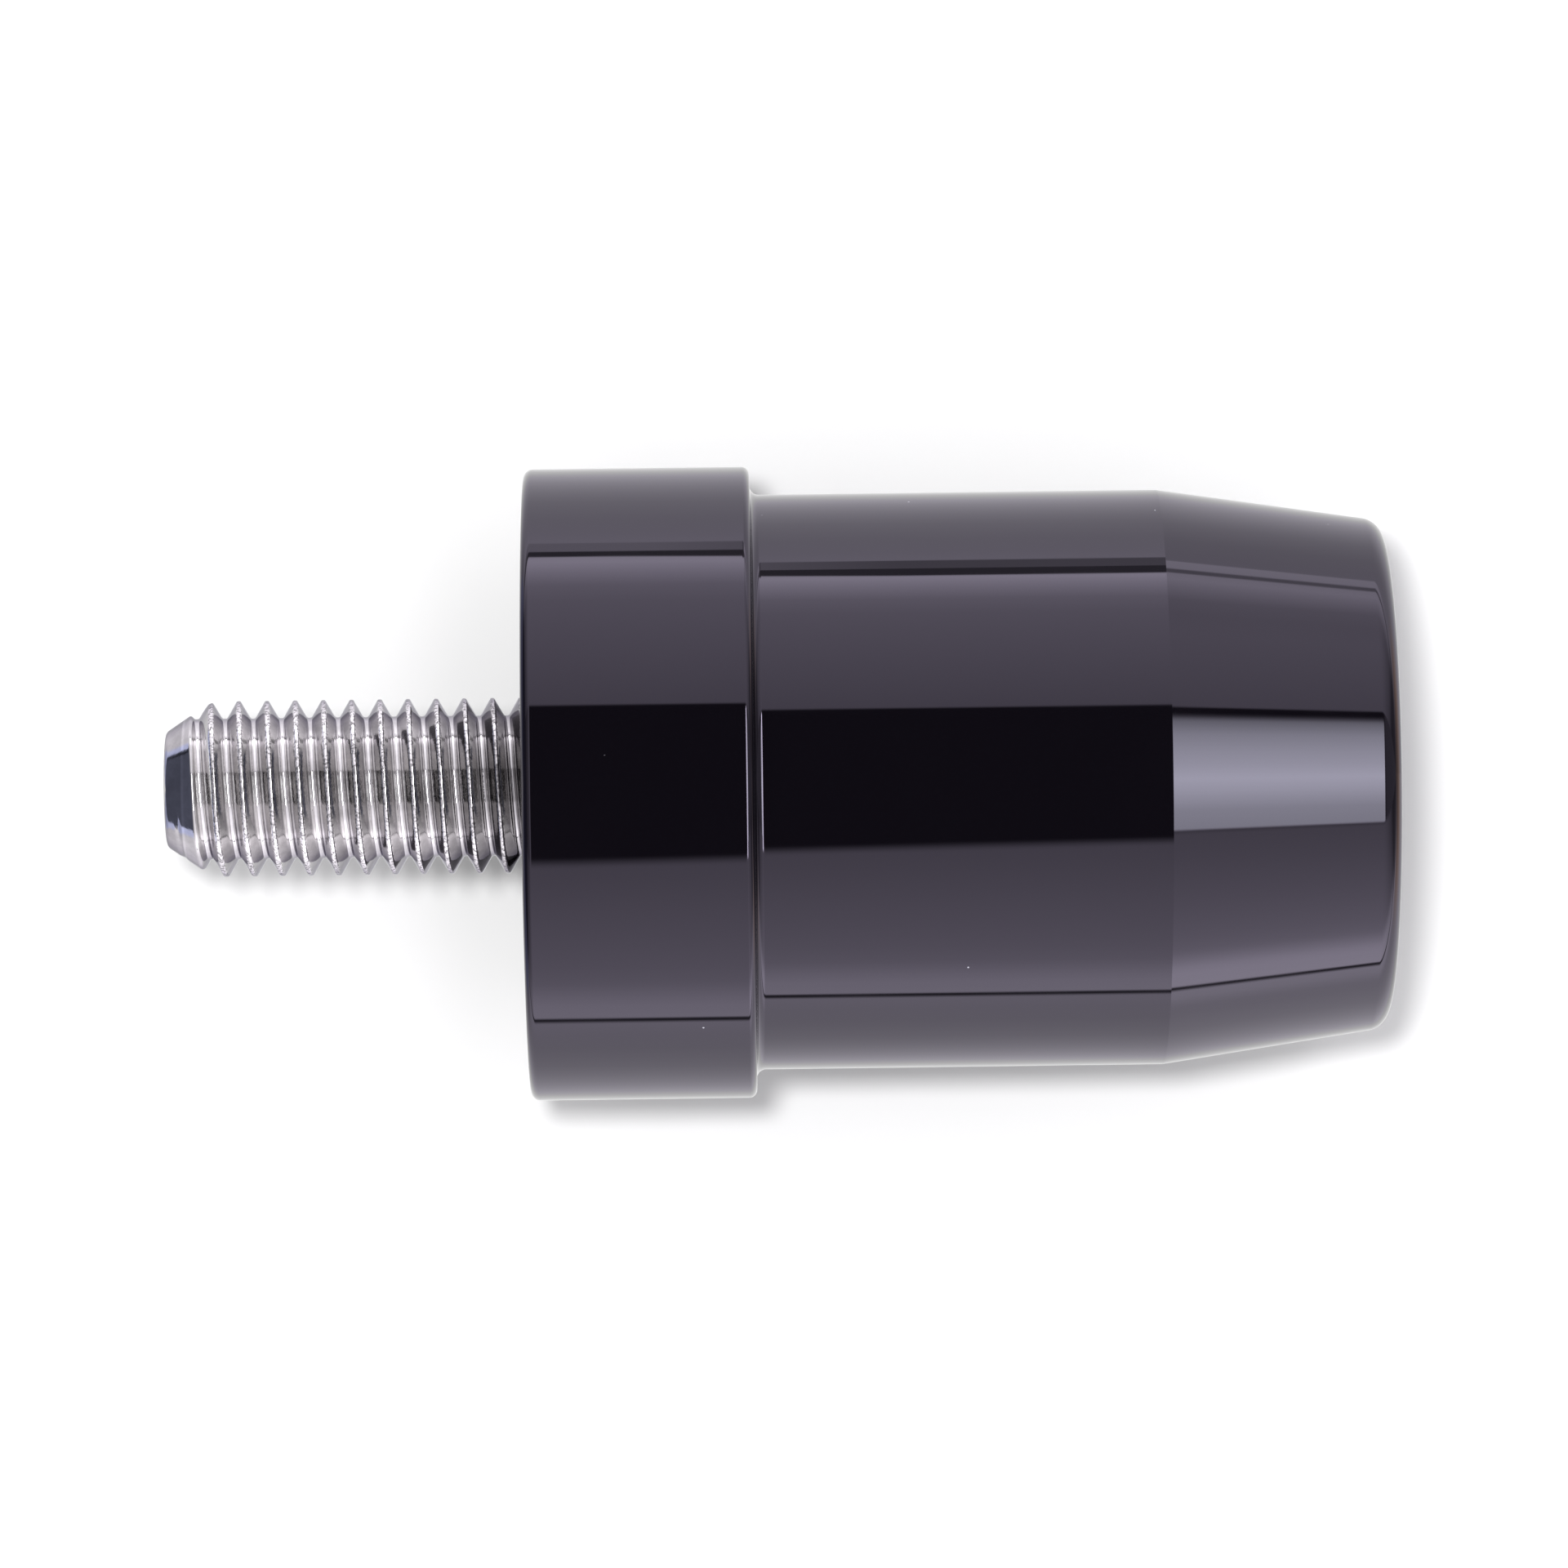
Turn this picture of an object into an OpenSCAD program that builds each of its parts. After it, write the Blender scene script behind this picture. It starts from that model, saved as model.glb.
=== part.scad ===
// Bar end weight for a motorbike: a turned black body with a threaded steel stud.
// It stands on its flat outer end, with the axis up and the stud at the top.

/* [Collar] */
// Diameter of the collar that meets the end of the handlebar
collar_d = 28; // [27:0.5:34]
// Length of the collar
collar_len = 10; // [6:0.5:14]
// Radius of the collar's edge on the handlebar side
seat_edge_r = 0.4; // [0.2:0.1:1.5]
// Radius of the collar's edge on the barrel side
step_edge_r = 0.35; // [0.1:0.05:0.5]
// Radius of the fillet where the barrel meets the collar
foot_r = 0.4; // [0.1:0.05:0.5]

/* [Barrel and taper] */
// Diameter of the straight barrel
barrel_d = 25.5; // [23:0.25:26.5]
// Length of the straight barrel
barrel_len = 18; // [10:0.5:30]
// Length of the taper from the barrel to the outer end
taper_len = 10; // [5:0.5:16]
// Diameter at which the taper would meet the outer end, before its edge is rounded
end_d = 22.5; // [18:0.25:23]
// Radius of the edge round the outer end
end_edge_r = 1; // [0.2:0.1:2]

/* [Stud] */
// Diameter over the crests of the stud's thread, for M8
stud_d = 7.8; // [5.8:0.1:9.8]
// Pitch of the thread
pitch = 1.25; // [0.75:0.25:1.5]
// Length of stud that stands out of the collar
stud_reach = 16; // [8:0.5:30]
// Length of stud held in the body
stud_grip = 14; // [8:0.5:20]
// Diameter of the flat tip
tip_d = 5.1; // [3.5:0.1:5.6]
// Length of the taper from the crests to the flat tip
tip_len = 2; // [0.8:0.1:3]
// Length of the chamfer on the hidden end
grip_chamfer = 0.8; // [0.2:0.1:1.5]

/* [Tapped hole] */
// Depth of the stud's thread that bites into the body, from crest to drilled wall
bite = 0.5; // [0.3:0.05:0.7]
// Gap between the stud's core and the drilled wall
core_gap = 0.05; // [0.02:0.01:0.1]
// Room round the stud's crests at the countersunk mouth
mouth_gap = 0.3; // [0.1:0.05:0.8]
// Depth of full-width hole left below the stud
hole_spare = 2; // [0.5:0.5:4]
// Angle of the drill's point
drill_angle = 118; // [90:1:140]

/* [Hidden] */
$fn = 96;
collar_r = collar_d / 2;
barrel_r = barrel_d / 2;
end_r = end_d / 2;
stud_r = stud_d / 2;
// Depth, flank and crest of a metric thread of this pitch, whose flanks stand at 60 degrees to each other
thread_depth = 17 / 24 * pitch * cos(30);
thread_flank = thread_depth * tan(30);
thread_crest = pitch / 8;
root_r = stud_r - thread_depth;
tip_r = tip_d / 2;
step_z = taper_len + barrel_len;
seat_z = step_z + collar_len;
tip_z = seat_z + stud_reach;
ridges = ceil(stud_reach / pitch);
// The wall of the step has room for its edge and its fillet side by side
step_share = 0.45 * (collar_r - barrel_r);
step_edge = min(step_edge_r, step_share);
foot = min(foot_r, step_share);
hole_r = stud_r - bite;
core_r = hole_r - core_gap;
mouth_r = stud_r + mouth_gap;
hole_z = seat_z - stud_grip - hole_spare;
point_z = hole_z - hole_r / tan(drill_angle / 2);
// How far the hole's cutter reaches past the face that it opens in
over = 1;

// The body's section as [distance from the axis, height, radius of the corner], from the outer end up
body_corners = [
    [0, 0, 0],
    [end_r, 0, end_edge_r],
    [barrel_r, taper_len, 0],
    [barrel_r, step_z, foot],
    [collar_r, step_z, step_edge],
    [collar_r, seat_z, seat_edge_r],
    [0, seat_z, 0]
];

function flat_point(corner) = [corner[0], corner[1]];
function unit(v) = v / norm(v);
// Straight steps in a corner of radius r, few but within about 0.01 mm of the true arc
function arc_steps(r) = max(2, round(5 * sqrt(r)));

// The points of a round of radius r that touches both edges of a corner; to_last and to_next point along them
function arc_points(corner, to_last, to_next, r) =
    let (
        half = acos(to_last * to_next) / 2,
        centre = corner + r / sin(half) * unit(to_last + to_next),
        start = corner + r / tan(half) * to_last - centre,
        turn = (90 - half) * 2 * sign(cross(to_next, to_last)),
        steps = arc_steps(r)
    )
    [for (i = [0 : steps])
        let (a = turn * i / steps)
        centre + [start[0] * cos(a) - start[1] * sin(a), start[0] * sin(a) + start[1] * cos(a)]];

// An outline with each corner rounded to its own radius
function rounded(corners) = [
    for (i = [0 : len(corners) - 1])
        let (
            corner = flat_point(corners[i]),
            last = flat_point(corners[(i + len(corners) - 1) % len(corners)]),
            next = flat_point(corners[(i + 1) % len(corners)]),
            r = corners[i][2]
        )
        each r > 0 ? arc_points(corner, unit(last - corner), unit(next - corner), r) : [corner]
];

// The blind hole, from the drill's point up through the mouth, which is countersunk at 45 degrees
module tapped_hole() {
    rotate_extrude() polygon([
        [0, point_z],
        [hole_r, hole_z],
        [hole_r, seat_z - (mouth_r - hole_r)],
        [mouth_r, seat_z],
        [mouth_r, seat_z + over],
        [0, seat_z + over]
    ]);
}

// The black body: collar, barrel and taper turned from one bar
module weight_body() {
    color("#17151b") difference() {
        rotate_extrude() polygon(rounded(body_corners));
        tapped_hole();
    }
}

// One ridge of the thread, from the foot of its crest to the far side of the groove that follows
function ridge(z) = [
    [stud_r, z],
    [stud_r, z + thread_crest],
    [root_r, z + thread_crest + thread_flank],
    [root_r, z + pitch - thread_flank]
];

// The stud's section, with the held part at the size of its core and the thread as ridges one pitch apart
module stud_section() {
    polygon([
        [0, seat_z - stud_grip],
        [core_r - grip_chamfer, seat_z - stud_grip],
        [core_r, seat_z - stud_grip + grip_chamfer],
        [core_r, seat_z - (stud_r - core_r)],
        for (i = [0 : ridges - 1]) each ridge(seat_z + i * pitch),
        [stud_r, seat_z + ridges * pitch],
        [0, seat_z + ridges * pitch]
    ]);
}

// What the flat tip and its taper take off the end of the section; the slope runs on past the crests
module tip_cut() {
    clear_r = 2 * stud_r - tip_r;
    polygon([
        [0, tip_z],
        [tip_r, tip_z],
        [clear_r, tip_z - 2 * tip_len],
        [clear_r, tip_z + stud_r],
        [0, tip_z + stud_r]
    ]);
}

// The steel stud
module threaded_stud() {
    color("silver") rotate_extrude() difference() {
        stud_section();
        tip_cut();
    }
}

weight_body();
threaded_stud();
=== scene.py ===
# Bar end weight: a gloss black turned body with a bright threaded stud.
# It stands on its outer end, and the camera is rolled so that the stud points to the left.
import math

import bpy
from mathutils import Matrix, Vector, noise


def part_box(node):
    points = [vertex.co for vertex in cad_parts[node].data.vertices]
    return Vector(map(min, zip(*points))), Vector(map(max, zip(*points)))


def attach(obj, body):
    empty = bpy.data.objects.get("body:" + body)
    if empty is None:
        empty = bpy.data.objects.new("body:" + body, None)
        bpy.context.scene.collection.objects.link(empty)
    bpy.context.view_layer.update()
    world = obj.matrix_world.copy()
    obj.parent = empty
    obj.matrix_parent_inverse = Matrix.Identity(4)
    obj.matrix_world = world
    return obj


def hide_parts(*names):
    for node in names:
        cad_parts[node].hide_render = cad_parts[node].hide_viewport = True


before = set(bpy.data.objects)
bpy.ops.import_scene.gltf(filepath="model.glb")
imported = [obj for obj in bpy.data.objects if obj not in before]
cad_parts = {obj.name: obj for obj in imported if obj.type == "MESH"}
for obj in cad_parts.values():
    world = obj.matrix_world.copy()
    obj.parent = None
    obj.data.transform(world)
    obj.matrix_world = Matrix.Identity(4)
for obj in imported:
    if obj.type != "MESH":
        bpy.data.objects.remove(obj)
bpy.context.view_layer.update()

MM = 0.001
# Degrees in a radian
DEGREES = 180 / math.pi

# Heights and radii of the turned body, in millimetres
END_R = 11.25
END_EDGE = 1.0
TAPER_LEN = 10.0
BARREL_R = 12.75
STEP_Z = 28.0
FOOT = 0.4
STEP_EDGE = 0.35
COLLAR_R = 14.0
SEAT_Z = 38.0
SEAT_EDGE = 0.4
MOUTH_R = 4.2
HOLE_R = 3.4
HOLE_Z = 22.0
POINT_Z = 19.957

# The stud, in millimetres
CREST_R = 3.9
CORE_R = 3.35
TIP_R = 2.55
TIP_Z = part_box("threaded_stud")[1][2] / MM
STUD_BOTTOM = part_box("threaded_stud")[0][2] / MM
GRIP_CHAMFER = 0.8
# The tip's taper gains this much radius for each millimetre below the tip
TIP_SLOPE = 0.675
# The tip's rounded edge: its height, and how much of a full round it is
TIP_ROUND = 0.15
TIP_ROUND_SHARE = 0.6
# How far the edge between the taper and the thread's first turn is rounded
START_ROUND = 0.3
# Where the thread starts to run in, under the collar's face, over what length, and where the plain grip ends
THREAD_FOOT = SEAT_Z - 0.8
RUN_IN = 0.5
PLAIN_TOP = THREAD_FOOT - 0.1

# The thread, in millimetres: half the crest's flat, and the radii of the crest's edge and of the root
PITCH = 1.25
CREST_FLAT = 0.035
CREST_ROUND = 0.08
ROOT_ROUND = 0.12
# Slope of a flank against the axis: the flanks stand 60 degrees apart
FLANK = math.radians(60)
THREAD_DEPTH = 0.775
FLANK_WIDTH = (THREAD_DEPTH - (CREST_ROUND + ROOT_ROUND) * (1 - math.cos(FLANK))) / math.tan(FLANK)
ROOT_FLAT = PITCH / 2 - CREST_FLAT - FLANK_WIDTH - (CREST_ROUND + ROOT_ROUND) * math.sin(FLANK)
# Height of the first crest above the collar's face on the +X side
CREST_START = 0.28
# The crests waver by this much, in waves this close together round the stud and along it
WAVER = 0.006
WAVER_AROUND = 2.6
WAVER_ALONG = 1.1

# How finely the pieces are divided, with angles in degrees
AROUND_BODY = 360
AROUND_STUD = 112
ROWS_A_PITCH = 40
ARC_STEP = 3.5
SHARP_BODY = 5.5
SHARP_STUD = 38
# Distance in millimetres of the rings that keep a long stretch flat from its ends, and of those between
GUARD = 0.03
GUARD_STEP = 1.0


def smoothstep(x):
    x = min(1.0, max(0.0, x))
    return x * x * (3 - 2 * x)


def rounded(corners):
    """The points of an outline whose corners are (r, z, radius of the corner)."""
    points = []
    for i, (r, z, bend) in enumerate(corners):
        here = Vector((r, z))
        if not bend:
            points.append(here)
            continue
        back = (Vector(corners[i - 1][:2]) - here).normalized()
        ahead = (Vector(corners[i + 1][:2]) - here).normalized()
        half = back.angle(ahead) / 2
        centre = here + (back + ahead).normalized() * bend / math.sin(half)
        first = here + back * bend / math.tan(half) - centre
        turn = math.copysign(math.pi - 2 * half, ahead.cross(back))
        steps = math.ceil(math.degrees(abs(turn)) / ARC_STEP)
        for k in range(steps + 1):
            points.append(centre + Matrix.Rotation(turn * k / steps, 2) @ first)
    return points


def with_guards(points):
    """Adds a point close to each end of every long stretch, and others between, so that it shades flat."""
    out = []
    for a, b in zip(points, points[1:]):
        out.append(a)
        length = (b - a).length
        if length > 4 * GUARD:
            along = (b - a).normalized()
            inner = length - 2 * GUARD
            count = max(1, round(inner / GUARD_STEP))
            for k in range(count + 1):
                out.append(a + along * (GUARD + inner * k / count))
    return out + [points[-1]]


def ring_solid(name, rings, first_z, last_z, sharp_angle):
    """A closed piece over rings of points in millimetres, each end drawn in to a point on the axis."""
    around = len(rings[0])
    verts = [(x * MM, y * MM, z * MM) for ring in rings for x, y, z in ring]
    first = len(verts)
    last = first + 1
    verts += [(0, 0, first_z * MM), (0, 0, last_z * MM)]
    top = (len(rings) - 1) * around
    faces = []
    for start in range(0, top, around):
        for k in range(around):
            a = start + k
            b = start + (k + 1) % around
            faces.append((a, b, b + around, a + around))
    for k in range(around):
        n = (k + 1) % around
        faces.append((first, n, k))
        faces.append((last, top + k, top + n))
    mesh = bpy.data.meshes.new(name)
    mesh.from_pydata(verts, [], faces)
    mesh.validate()
    mesh.polygons.foreach_set("use_smooth", [True] * len(mesh.polygons))
    mesh.set_sharp_from_angle(angle=math.radians(sharp_angle))
    piece = bpy.data.objects.new(name, mesh)
    bpy.context.collection.objects.link(piece)
    return piece


def angles(count):
    return [2 * math.pi * k / count for k in range(count)]


def on_circle(r, z, a):
    return r * math.cos(a), r * math.sin(a), z


def make_body():
    """The body, turned from its section, which runs from the outer end up and down into the tapped hole."""
    outline = rounded(
        [
            (0, 0, 0),
            (END_R, 0, END_EDGE),
            (BARREL_R, TAPER_LEN, 0),
            (BARREL_R, STEP_Z, FOOT),
            (COLLAR_R, STEP_Z, STEP_EDGE),
            (COLLAR_R, SEAT_Z, SEAT_EDGE),
            (MOUTH_R, SEAT_Z, 0),
            (HOLE_R, SEAT_Z - (MOUTH_R - HOLE_R), 0),
            (HOLE_R, HOLE_Z, 0),
            (0, POINT_Z, 0),
        ]
    )
    outline = with_guards(outline)
    rings = [[on_circle(p.x, p.y, a) for a in angles(AROUND_BODY)] for p in outline[1:-1]]
    return ring_solid("turned_body", rings, outline[0].y, outline[-1].y, SHARP_BODY)


def thread_drop(phase):
    """How far the thread lies under its crest, for a phase in millimetres from the middle of the crest."""
    away = abs((phase + PITCH / 2) % PITCH - PITCH / 2)
    from_root = max(0.0, PITCH / 2 - away - ROOT_FLAT)
    if from_root < ROOT_ROUND * math.sin(FLANK):
        return THREAD_DEPTH - ROOT_ROUND + math.sqrt(ROOT_ROUND**2 - from_root**2)
    over = away - CREST_FLAT
    if over <= 0:
        return 0.0
    if over < CREST_ROUND * math.sin(FLANK):
        return CREST_ROUND - math.sqrt(CREST_ROUND**2 - over**2)
    return CREST_ROUND * (1 - math.cos(FLANK)) + (over - CREST_ROUND * math.sin(FLANK)) * math.tan(FLANK)


def tip_taper(below_tip):
    """Radius of the tip's taper at a distance below the tip."""
    taper = TIP_R + below_tip * TIP_SLOPE
    if below_tip < TIP_ROUND:
        taper -= TIP_ROUND * (1 - math.sqrt(1 - (1 - below_tip / TIP_ROUND) ** 2)) * TIP_ROUND_SHARE
    return taper


def stud_radius(z, a):
    """Radius of the stud at a height and an angle round the axis, counted from +X."""
    if z <= STUD_BOTTOM + GRIP_CHAMFER:
        return CORE_R - (STUD_BOTTOM + GRIP_CHAMFER - z)
    if z <= PLAIN_TOP:
        return CORE_R
    taper = tip_taper(TIP_Z - z)
    phase = z - SEAT_Z - CREST_START - PITCH * a / (2 * math.pi)
    around = Vector((math.cos(a) * WAVER_AROUND, math.sin(a) * WAVER_AROUND, z * WAVER_ALONG))
    crest = CREST_R - WAVER + WAVER * noise.noise(around)
    thread = crest - thread_drop(phase)
    run_in = CORE_R + smoothstep((z - THREAD_FOOT) / RUN_IN) * (CREST_R - CORE_R)
    overlap = max(START_ROUND - abs(thread - taper), 0.0) / START_ROUND
    return min(min(thread, taper) - overlap * overlap * START_ROUND / 4, run_in)


def make_stud():
    """The stud as rings up the axis, whose radius follows the thread's helix."""
    rows = math.ceil((TIP_Z - THREAD_FOOT) / PITCH * ROWS_A_PITCH)
    heights = [STUD_BOTTOM, STUD_BOTTOM + GRIP_CHAMFER, PLAIN_TOP]
    heights += [THREAD_FOOT + (TIP_Z - THREAD_FOOT) * k / rows for k in range(rows + 1)]
    rings = [[on_circle(stud_radius(z, a), z, a) for a in angles(AROUND_STUD)] for z in heights]
    return ring_solid("stud_thread", rings, STUD_BOTTOM, TIP_Z, SHARP_STUD)


class Nodes:
    """A short way to write shader nodes. A value may be a number or another node's output."""

    def __init__(self, tree):
        self.tree = tree
        self.tree.nodes.clear()

    def put(self, value, socket):
        if hasattr(value, "is_output"):
            self.tree.links.new(value, socket)
        else:
            socket.default_value = value

    def add(self, kind, **sockets):
        node = self.tree.nodes.new("ShaderNode" + kind)
        for key, value in sockets.items():
            self.put(value, node.inputs[key.replace("_", " ")])
        return node

    def math(self, operation, a, b=0.0, clamp=False):
        node = self.tree.nodes.new("ShaderNodeMath")
        node.operation = operation
        node.use_clamp = clamp
        self.put(a, node.inputs[0])
        self.put(b, node.inputs[1])
        return node.outputs[0]

    def times(self, *factors):
        total = factors[0]
        for factor in factors[1:]:
            total = self.math("MULTIPLY", total, factor)
        return total

    def ramp(self, value, low, high, to_low=0.0, to_high=1.0, smooth=True):
        """One output at low and another at high, with a smooth or a straight change between them."""
        node = self.tree.nodes.new("ShaderNodeMapRange")
        node.interpolation_type = "SMOOTHSTEP" if smooth else "LINEAR"
        self.put(value, node.inputs["Value"])
        self.put(low, node.inputs["From Min"])
        self.put(high, node.inputs["From Max"])
        self.put(to_low, node.inputs["To Min"])
        self.put(to_high, node.inputs["To Max"])
        return node.outputs["Result"]

    def over(self, value, limit, soft):
        """1 over a limit and 0 under it, with a soft edge."""
        return self.ramp(value, limit - soft, limit + soft)

    def under(self, value, limit, soft):
        """1 under a limit and 0 over it, with a soft edge."""
        return self.ramp(value, limit + soft, limit - soft)

    def between(self, value, limits, soft):
        """1 between two limits and 0 outside, with soft edges."""
        return self.times(self.over(value, limits[0], soft), self.under(value, limits[1], soft))

    def fade(self, value, start, end, least):
        """1 up to the start, then a smooth change to the least share at the end."""
        return self.ramp(value, start, end, 1.0, least)

    def steps(self, value, points):
        """A curve through (input, output) points, straight between them."""
        total = points[0][1]
        for (x0, y0), (x1, y1) in zip(points, points[1:]):
            if y0 != y1:
                total = self.math("ADD", self.ramp(value, x0, x1, 0.0, y1 - y0, smooth=False), total)
        return total

    def blend(self, share, a, b):
        """a where the share is 0, and b where it is 1."""
        node = self.tree.nodes.new("ShaderNodeMix")
        node.data_type = "FLOAT"
        self.put(share, node.inputs["Factor"])
        self.put(a, node.inputs["A"])
        self.put(b, node.inputs["B"])
        return node.outputs["Result"]

    def blend_colour(self, share, a, b):
        """Colour a where the share is 0, and colour b where it is 1."""
        return self.add("MixRGB", Fac=share, Color1=a, Color2=b).outputs["Color"]

    def noise(self, place, scale, detail, roughness=0.5):
        node = self.add("TexNoise", Vector=place, Scale=scale, Detail=detail, Roughness=roughness)
        return node.outputs["Fac"]

    def end(self, kind, output):
        """Ends the tree in its output node."""
        self.put(output, self.add(kind).inputs["Surface"])


def new_material(name):
    material = bpy.data.materials.new(name)
    material.use_nodes = True
    return material, Nodes(material.node_tree)


# In both finishes a NOISE is (waves a metre, detail, roughness of the detail), and a RANGE is the part of
# its output that a change spans.

# The black finish: its faint smears make it rougher and uneven
BLACK = (0.0026, 0.0020, 0.0034, 1)
BLACK_SHEEN = (0.80, 0.735, 0.90, 1)
BLACK_IOR = 1.7
BLACK_ROUGH = (0.022, 0.05)
SMEAR_NOISE = (160.0, 3.0, 0.5)
SMEAR_RANGE = (0.3, 0.75)
SMEAR_BUMP = 0.02
SMEAR_DEPTH = 0.01 * MM
# Specks of dust: their colour, how much rougher they are, how many to a metre, their soft edge, and the
# patches that have them
DUST = (0.55, 0.55, 0.6, 1)
DUST_ROUGH = 0.5
DUST_SCALE = 900.0
DUST_EDGE = (0.05, 0.03)
DUST_NOISE = (420.0, 1.0, 0.5)
DUST_RANGE = (0.66, 0.70)


def gloss_black():
    material, n = new_material("gloss_black")
    place = n.add("TexCoord").outputs["Object"]
    specks = n.add("TexVoronoi", Vector=place, Scale=DUST_SCALE).outputs["Distance"]
    patches = n.noise(place, *DUST_NOISE)
    dust = n.times(n.ramp(specks, *DUST_EDGE), n.ramp(patches, *DUST_RANGE))
    smear = n.noise(place, *SMEAR_NOISE)
    rough = n.math("ADD", n.ramp(smear, *SMEAR_RANGE, *BLACK_ROUGH), n.times(dust, DUST_ROUGH))
    bump = n.add("Bump", Height=smear, Strength=SMEAR_BUMP, Distance=SMEAR_DEPTH)
    shader = n.add(
        "BsdfPrincipled",
        Base_Color=n.blend_colour(dust, BLACK, DUST),
        Roughness=rough,
        IOR=BLACK_IOR,
        Specular_Tint=BLACK_SHEEN,
        Normal=bump.outputs["Normal"],
    )
    n.end("OutputMaterial", shader.outputs["BSDF"])
    return material


# The steel
STEEL = (1.0, 0.985, 0.96, 1)
STEEL_SHEEN = (0.45, 0.44, 0.49, 1)
STEEL_ROUGH = (0.06, 0.1)
# Share of light that it mirrors as (distance from the axis in mm, share): crests worn bright, a painted
# highlight along the roots, and darker flanks
STEEL_WEAR_AND_ROOT_HIGHLIGHT = [(3.06, 0.6), (3.1, 0.85), (3.13, 0.85), (3.18, 0.7), (3.3, 0.68), (3.74, 0.74), (3.86, 1.0)]
# Painted shade towards the collar: height in mm where that starts, where it ends, and the share left there
STEEL_COLLAR_SHADE = (43.5, 38.0, 0.72)
# Blotches change both the share and the roughness
BLOTCH_NOISE = (700.0, 4.0, 0.6)
BLOTCH_RANGE = (0.3, 0.7)
BLOTCH_SHARE = (0.84, 1.12)
# Where the crests start, in mm from the axis: they are burred, which breaks their shine up
BURRED = (3.74, 3.84)
BURR_NOISE = (8000.0, 2.0, 0.6)
BURR_RANGE = (0.38, 0.56)
BURR_SHARE = (0.42, 1.06)
# Fine grit over all of it
GRIT_NOISE = (4200.0, 3.0, 0.65)
GRIT_BUMP = 0.1
GRIT_DEPTH = 0.02 * MM


def bright_steel():
    material, n = new_material("bright_steel")
    place = n.add("TexCoord").outputs["Object"]
    x, y, z = n.add("SeparateXYZ", Vector=place).outputs
    across = n.math("SQRT", n.math("ADD", n.times(x, x), n.times(y, y)))
    across = n.times(across, 1 / MM)
    blotch = n.noise(place, *BLOTCH_NOISE)
    burr = n.noise(place, *BURR_NOISE)
    grit = n.noise(place, *GRIT_NOISE)
    # The share carries the crests' wear, a painted highlight along the roots and painted shade towards the
    # collar
    share = n.times(n.steps(across, STEEL_WEAR_AND_ROOT_HIGHLIGHT), n.fade(n.times(z, 1 / MM), *STEEL_COLLAR_SHADE))
    share = n.times(share, n.ramp(blotch, *BLOTCH_RANGE, *BLOTCH_SHARE))
    broken = n.blend(n.ramp(across, *BURRED), 1.0, n.ramp(burr, *BURR_RANGE, *BURR_SHARE))
    share = n.math("MULTIPLY", share, broken, clamp=True)
    bump = n.add("Bump", Height=grit, Strength=GRIT_BUMP, Distance=GRIT_DEPTH)
    shader = n.add(
        "BsdfPrincipled",
        Base_Color=n.blend_colour(share, (0, 0, 0, 1), STEEL),
        Metallic=1.0,
        Roughness=n.ramp(blotch, *BLOTCH_RANGE, *STEEL_ROUGH),
        Specular_Tint=STEEL_SHEEN,
        Normal=bump.outputs["Normal"],
    )
    n.end("OutputMaterial", shader.outputs["BSDF"])
    return material


# Directions of the studio round the weight's axis, in degrees: turn is 0 towards the camera, 90 towards +X
# and -90 towards -X, and rise is 90 towards +Z, the stud's end. Light is in units of the white surroundings,
# and each SOFT is half the width of a soft edge.

# Light of the side panels as (turn, light)
PANEL = [
    (-97.0, 1.9),
    (-88.0, 1.95),
    (-84.0, 1.8),
    (-77.0, 1.42),
    (-70.0, 1.3),
    (-50.0, 1.1),
    (-35.0, 0.93),
    (-25.0, 0.84),
    (25.0, 0.84),
    (35.0, 0.95),
    (50.0, 1.12),
    (70.0, 1.32),
    (77.0, 1.55),
    (84.0, 2.3),
    (88.0, 2.75),
    (97.0, 2.4),
]
# How the panels fall off as (rise, factor)
PANEL_FALL = [
    (-66.0, 0.16),
    (-54.0, 0.5),
    (-30.0, 0.85),
    (-15.0, 1.0),
    (8.0, 1.0),
    (15.0, 0.84),
    (25.0, 0.62),
    (36.0, 0.45),
    (46.5, 0.34),
    (50.0, 0.16),
]
# Gain of panels and table where the taper mirrors them, as (turn, gain), and the rises where it comes in
TAPER_GAIN = [
    (-108.0, 1.15),
    (-102.0, 1.38),
    (-85.0, 1.5),
    (-75.0, 1.2),
    (-50.0, 1.12),
    (-10.0, 1.08),
    (25.0, 1.08),
    (60.0, 0.95),
    (78.0, 0.76),
    (92.0, 0.72),
    (105.0, 0.83),
    (119.0, 0.9),
    (139.0, 1.0),
]
TAPER_RISE = (-6.0, -14.0)

# The dark slit between the panels, where the camera stands: the turn of its edge on the +X side, that of its
# other edge as (rise, turn towards -X), and its light as (rise, light)
SLIT_UP = 28.6
SLIT_DOWN = [(-90.0, 22.0), (-20.0, 22.0), (-3.0, 25.4), (1.0, 28.4), (90.0, 28.4)]
SLIT_SOFT_UP = 0.6
SLIT_SOFT_DOWN = 2.3
SLIT_LIGHT = [(-34.0, 0.3), (-24.0, 0.03), (1.9, 0.03), (3.4, 1.0), (12.0, 0.5), (48.0, 0.1)]

# The window in the slit that shows in the taper: its edge on the +X side, its rises, and its light as
# (turn, light). On the other side it ends with the slit.
WINDOW_UP = 24.6
WINDOW_RISE = (-26.5, -18.5)
WINDOW_SOFT_UP = 2.2
WINDOW_SOFT = 0.7
WINDOW = [
    (-22.0, 3.35),
    (-14.0, 3.8),
    (-6.0, 5.4),
    (-1.0, 6.15),
    (5.0, 5.2),
    (10.3, 4.6),
    (17.3, 3.55),
    (23.4, 1.85),
    (26.2, 0.5),
]
# The strip light that follows the window: it shows only as thin lines in edges, fillets and the thread
STRIP_TURN = (-27.5, 27.5)
STRIP_RISE = (-17.0, -9.0)
STRIP_SOFT_TURN = 1.0
STRIP_SOFT_RISE = 0.5
STRIP_LIGHT = 12.0
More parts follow.
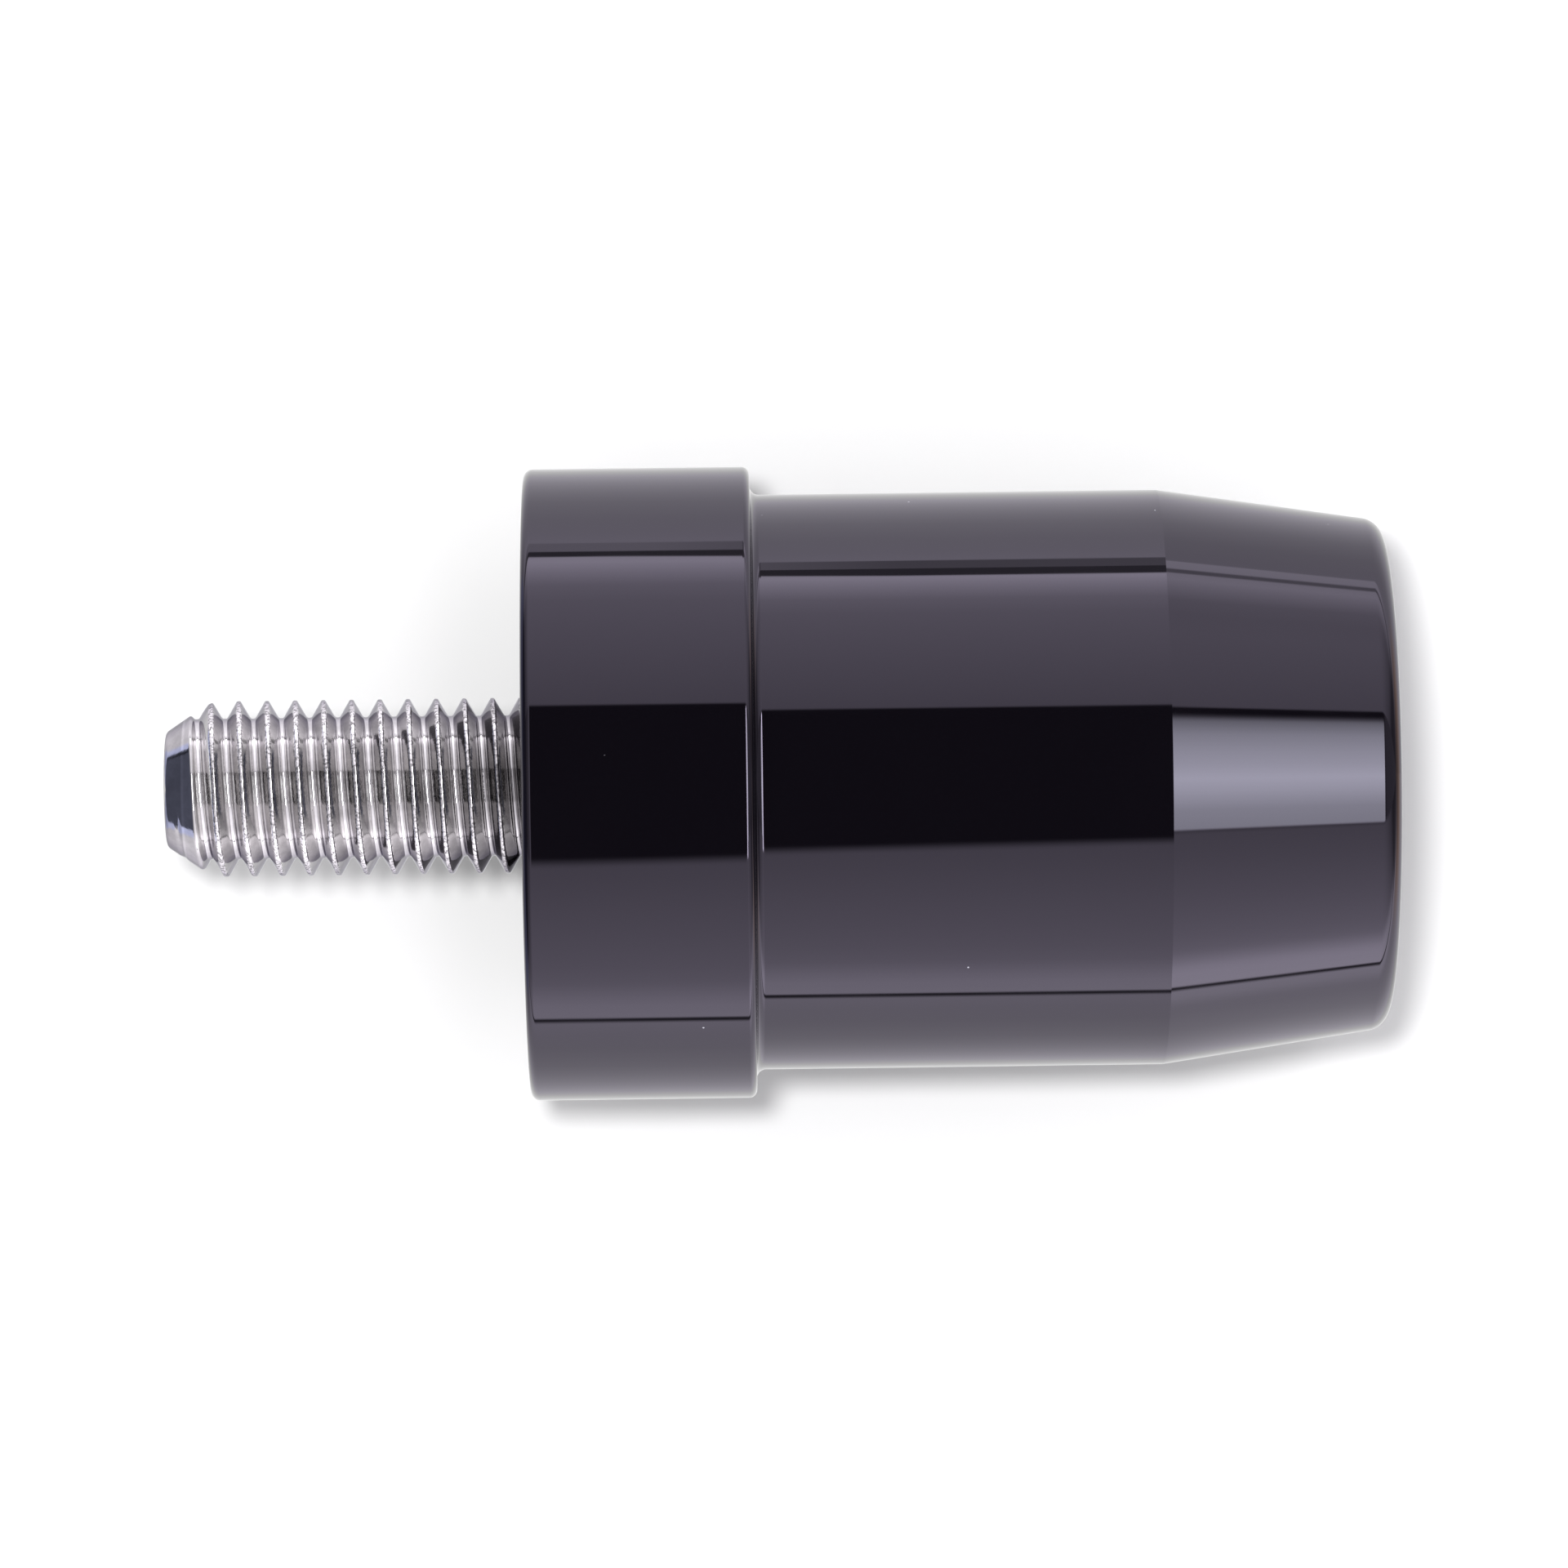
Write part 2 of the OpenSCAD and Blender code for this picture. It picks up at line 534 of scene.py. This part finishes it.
# What window and strip come down to in rays that were mirrored more than once, in the grooves of the thread,
# and the ray depth between one mirror image and more, with its soft edge
DEEP_LIGHT = 1.8
DEEP_BOUNCE = 2.5
DEEP_SOFT = 0.1

# The dim room beyond the stud's tip, from one rise to the other
ROOM_RISE = (46.5, 50.0)
ROOM_LIGHT = 0.095

# Light of the white table beyond the seams as (turn to either side, light), and how it fades towards the
# stud's end and the outer end, as (rise where that starts, rise where it ends, share left)
TABLE = [(91.0, 1.5), (97.0, 1.5), (104.0, 1.27), (112.0, 1.1), (125.0, 0.98), (180.0, 1.0)]
TABLE_STUD_END = (30.0, 60.0, 0.42)
TABLE_OUTER_END = (-55.0, -85.0, 0.4)
# Where glossy rays see the plain white behind the weight, by turn to either side and by rise
WHITE_TURN = (150.0, 160.0)
WHITE_RISE = (-50.0, -30.0)

# The turns of the seams between the panels and the table, and how far it takes to pass them
SEAM_UP = 97.9
SEAM_DOWN = -95.2
SEAM_PASS = 0.8
# The dark gap before the seam on the +X side: where it starts as (rise, turn past the seam), where its core
# ends, the turns of its weaker step, and the depth of both as (rise, depth)
GAP_START = [(-15.0, -6.4), (-5.0, -8.6), (-1.2, -8.6), (0.7, -7.1)]
GAP_CORE = -4.1
GAP_SOFT = 0.5
GAP_STEP = (-4.6, 0.4)
GAP_STEP_SOFT = 0.4
GAP_DEPTH = [(-15.0, 0.62), (-4.0, 0.92)]
GAP_STEP_DEPTH = [(-14.0, 0.0), (-8.0, 0.74), (-1.2, 0.76), (0.5, 0.54)]
# The thin gap at the other seam as (turn past the seam, depth), and the rises that shift it by a degree
GAP_DOWN = [(-1.4, 0.0), (-0.4, 0.93), (0.4, 0.93), (1.9, 0.0)]
GAP_DOWN_SHIFT = (-4.0, -15.0)

TINT = (1.0, 0.965, 1.06, 1)
WINDOW_TINT = (1.0, 1.05, 1.08, 1)
ROOM_TINT = (0.9, 0.95, 1.4, 1)
# The warm light below and behind the outer end: where it comes in, by rise and by turn to either side
WARM_RISE = (-48.0, -70.0)
WARM_TURN = (90.0, 130.0)
WARM_TINT = (1.35, 0.97, 0.75, 1)


def front_light(n, turn, rise, gain, direct):
    """Light of panels, slit, window, strip and room, and the masks of window and room."""
    panel = n.times(n.steps(turn, PANEL), n.steps(rise, PANEL_FALL), gain)
    past_edge = n.math("ADD", turn, n.steps(rise, SLIT_DOWN))
    slit = n.times(n.under(turn, SLIT_UP, SLIT_SOFT_UP), n.over(past_edge, 0.0, SLIT_SOFT_DOWN))
    light = n.blend(slit, panel, n.steps(rise, SLIT_LIGHT))

    room = n.ramp(rise, *ROOM_RISE)
    light = n.blend(room, light, ROOM_LIGHT)

    window = n.times(n.under(turn, WINDOW_UP, WINDOW_SOFT_UP), n.over(past_edge, 0.0, WINDOW_SOFT))
    window = n.times(window, n.between(rise, WINDOW_RISE, WINDOW_SOFT))
    light = n.blend(window, light, n.blend(direct, DEEP_LIGHT, n.steps(turn, WINDOW)))

    strip = n.between(rise, STRIP_RISE, STRIP_SOFT_RISE)
    strip = n.times(strip, n.between(turn, STRIP_TURN, STRIP_SOFT_TURN))
    light = n.blend(strip, light, n.blend(direct, DEEP_LIGHT, STRIP_LIGHT))
    return light, window, room


def table_light(n, off, rise, gain):
    """Light of the table, for a turn to either side."""
    light = n.times(n.steps(off, TABLE), n.fade(rise, *TABLE_STUD_END))
    return n.times(light, n.fade(rise, *TABLE_OUTER_END), gain)


def seam_gap(n, turn, rise):
    """How dark the gaps at the two seams are, from 0 to 1."""
    past_up = n.math("SUBTRACT", turn, SEAM_UP)
    into_gap = n.math("SUBTRACT", past_up, n.steps(rise, GAP_START))
    core = n.times(n.over(into_gap, 0.0, GAP_SOFT), n.under(past_up, GAP_CORE, GAP_SOFT))
    core = n.times(core, n.steps(rise, GAP_DEPTH))
    step = n.times(n.between(past_up, GAP_STEP, GAP_STEP_SOFT), n.steps(rise, GAP_STEP_DEPTH))
    past_down = n.math("SUBTRACT", SEAM_DOWN, turn)
    past_down = n.math("SUBTRACT", past_down, n.ramp(rise, *GAP_DOWN_SHIFT))
    return n.math("MAXIMUM", n.math("MAXIMUM", core, step), n.steps(past_down, GAP_DOWN))


def studio_tint(n, off, rise, window, room):
    """Colour of the light, which changes in the window, in the room and behind the outer end."""
    warm = n.times(n.ramp(rise, *WARM_RISE), n.ramp(off, *WARM_TURN))
    tint = n.blend_colour(window, TINT, WINDOW_TINT)
    tint = n.blend_colour(room, tint, ROOM_TINT)
    return n.blend_colour(warm, tint, WARM_TINT)


def plain_share(n, path, off, rise):
    """1 for rays that see plain white: the camera's, the floor's, and glossy ones to behind the weight."""
    behind = n.times(path.outputs["Is Glossy Ray"], n.ramp(off, *WHITE_TURN), n.ramp(rise, *WHITE_RISE))
    plain = n.math("ADD", path.outputs["Is Camera Ray"], path.outputs["Is Transmission Ray"])
    plain = n.math("ADD", plain, path.outputs["Is Diffuse Ray"])
    return n.math("ADD", plain, behind, clamp=True)


def make_world():
    """Plain white, but mirrors see a light tent: a dark slit for the camera, two panels and a table."""
    world = bpy.data.worlds.new("studio")
    bpy.context.scene.world = world
    world.use_nodes = True
    n = Nodes(world.node_tree)
    x, y, z = n.add("SeparateXYZ", Vector=n.add("TexCoord").outputs["Generated"]).outputs
    turn = n.times(n.math("ARCTAN2", x, n.times(y, -1.0)), DEGREES)
    rise = n.times(n.math("ARCSINE", z), DEGREES)
    off = n.math("ABSOLUTE", turn)
    path = n.add("LightPath")
    direct = n.under(path.outputs["Ray Depth"], DEEP_BOUNCE, DEEP_SOFT)

    gain = n.blend(n.ramp(rise, *TAPER_RISE), 1.0, n.steps(turn, TAPER_GAIN))
    front, window, room = front_light(n, turn, rise, gain, direct)
    past_up = n.ramp(turn, SEAM_UP, SEAM_UP + SEAM_PASS)
    past_down = n.ramp(turn, SEAM_DOWN, SEAM_DOWN - SEAM_PASS)
    past = n.math("ADD", past_up, past_down, clamp=True)
    light = n.blend(past, front, table_light(n, off, rise, gain))
    light = n.times(light, n.math("SUBTRACT", 1.0, seam_gap(n, turn, rise)))

    studio = n.add("Background", Color=studio_tint(n, off, rise, window, room), Strength=light)
    white = n.add("Background", Color=(1, 1, 1, 1), Strength=1.0)
    mix = n.add("MixShader", Fac=plain_share(n, path, off, rise))
    n.put(studio.outputs[0], mix.inputs[1])
    n.put(white.outputs[0], mix.inputs[2])
    n.end("OutputWorld", mix.outputs[0])


# The camera: its distance from the axis, its height, the point it looks at, and how the photograph is rolled
CAMERA_DISTANCE = 0.375
FOOT_Z = 29.3 * MM
AIM = Vector((-0.1 * MM, 0, 26.63 * MM))
ROLL = math.radians(0.75)
PIXELS_PER_MM = 27.576
SENSOR = 36.0
PHOTO_WIDTH = 1920


def make_camera():
    data = bpy.data.cameras.new("camera")
    data.sensor_width = SENSOR
    data.lens = SENSOR * CAMERA_DISTANCE / (PHOTO_WIDTH / PIXELS_PER_MM * MM)
    data.clip_start = 0.01
    data.clip_end = 10
    camera = bpy.data.objects.new("camera", data)
    bpy.context.collection.objects.link(camera)
    place = Vector((AIM.x, -CAMERA_DISTANCE, FOOT_Z))
    back = (place - AIM).normalized()
    right = Vector((-math.sin(ROLL), 0, -math.cos(ROLL)))
    right = (right - right.dot(back) * back).normalized()
    up = back.cross(right)
    camera.matrix_world = Matrix.Translation(place) @ Matrix((right, up, back)).transposed().to_4x4()
    bpy.context.scene.camera = camera
    return camera


FLOOR_HALF = 75 * MM
# The floor fades out from one distance to the other round the weight's middle, past the photograph's frame
FLOOR_FADE = (54 * MM, 72 * MM)
FLOOR_Y = 14.15 * MM
FLOOR_ALBEDO = 0.58


def floor_pale(middle):
    """A matt finish that shows on its front side only and fades out with the distance from a point."""
    material, n = new_material("floor_pale")
    pale = n.add("BsdfDiffuse", Color=(FLOOR_ALBEDO, FLOOR_ALBEDO, FLOOR_ALBEDO, 1))
    clear = n.add("BsdfTransparent")
    away = n.add("VectorMath", Vector=n.add("TexCoord").outputs["Object"])
    away.operation = "DISTANCE"
    n.put(middle, away.inputs[1])
    faded = n.ramp(away.outputs["Value"], *FLOOR_FADE)
    hidden = n.math("MAXIMUM", n.add("NewGeometry").outputs["Backfacing"], faded)
    side = n.add("MixShader", Fac=hidden)
    n.put(pale.outputs[0], side.inputs[1])
    n.put(clear.outputs[0], side.inputs[2])
    n.end("OutputMaterial", side.outputs[0])
    return material


def make_floor():
    """The pale surface that the weight lies on in the photograph, behind it. Only the camera sees it."""
    w = FLOOR_HALF
    middle = (0, FLOOR_Y, AIM.z)
    corners = [(x, FLOOR_Y, AIM.z + z) for x, z in ((-w, -w), (w, -w), (w, w), (-w, w))]
    mesh = bpy.data.meshes.new("floor")
    mesh.from_pydata(corners, [], [(0, 1, 2, 3)])
    mesh.materials.append(floor_pale(middle))
    floor = bpy.data.objects.new("floor", mesh)
    bpy.context.collection.objects.link(floor)
    floor.visible_glossy = False
    floor.visible_diffuse = False
    floor.visible_transmission = False
    floor.visible_shadow = False
    return floor


# The lamp for the floor's shadow: its place beside the camera, its radius, and its power in watts
LAMP_LEFT = 20 * MM
LAMP_UP = 20 * MM
LAMP_R = 16 * MM
LAMP_POWER = 1.35


def make_floor_lamp(camera, floor):
    """A soft lamp up and left of the camera, for the floor alone: the shadow falls down and to the right."""
    data = bpy.data.lights.new("floor_lamp", "AREA")
    data.shape = "DISK"
    data.size = 2 * LAMP_R
    data.energy = LAMP_POWER
    lamp = bpy.data.objects.new("floor_lamp", data)
    bpy.context.collection.objects.link(lamp)
    lamp.matrix_world = camera.matrix_world @ Matrix.Translation((-LAMP_LEFT, LAMP_UP, 0))
    lamp.visible_camera = False
    lamp.visible_glossy = False
    lit = bpy.data.collections.new("lit_by_floor_lamp")
    lit.objects.link(floor)
    lamp.light_linking.receiver_collection = lit
    return lamp


camera = make_camera()
body = make_body()
body.data.materials.append(gloss_black())
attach(body, "root")
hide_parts("weight_body")
stud = make_stud()
stud.data.materials.append(bright_steel())
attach(stud, "root")
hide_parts("threaded_stud")
make_world()
make_floor_lamp(camera, make_floor())

bpy.context.scene.view_settings.view_transform = "Standard"
